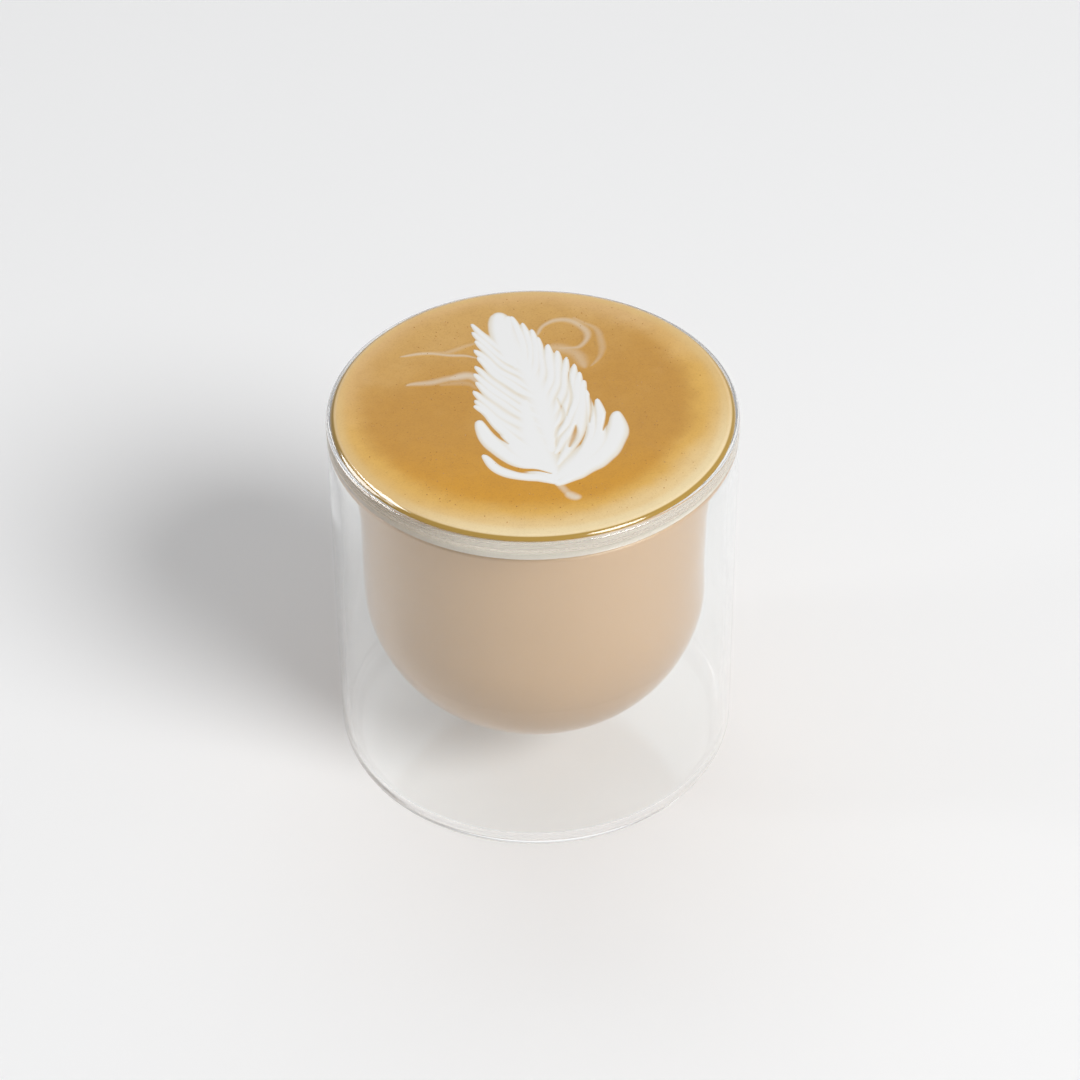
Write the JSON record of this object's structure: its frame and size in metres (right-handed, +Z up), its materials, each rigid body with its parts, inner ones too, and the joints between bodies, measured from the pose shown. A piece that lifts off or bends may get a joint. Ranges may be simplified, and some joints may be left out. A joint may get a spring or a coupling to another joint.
{
  "type": "latte",
  "caption": "Milk coffee filling a clear double-walled glass to the lip, with golden foam and a poured leaf of white milk foam on top.",
  "frame": {"origin": "centre of the flat foot of the glass, on the surface it stands on", "axes": "+Z up along the glass's axis; the foot of the poured leaf points towards -Y"},
  "size_m": [0.085, 0.085, 0.0868],
  "materials": {
    "clear_glass": "clear blown glass, polished",
    "milk_coffee": "opaque beige liquid",
    "golden_foam": "fine wet foam with a soft sheen",
    "white_foam": "fine white milk foam"
  },
  "bodies": {
    "root": {"glass": "clear_glass", "milk_coffee": "milk_coffee", "crema": "golden_foam", "milk_leaf": "white_foam"}
  },
  "joints": []
}
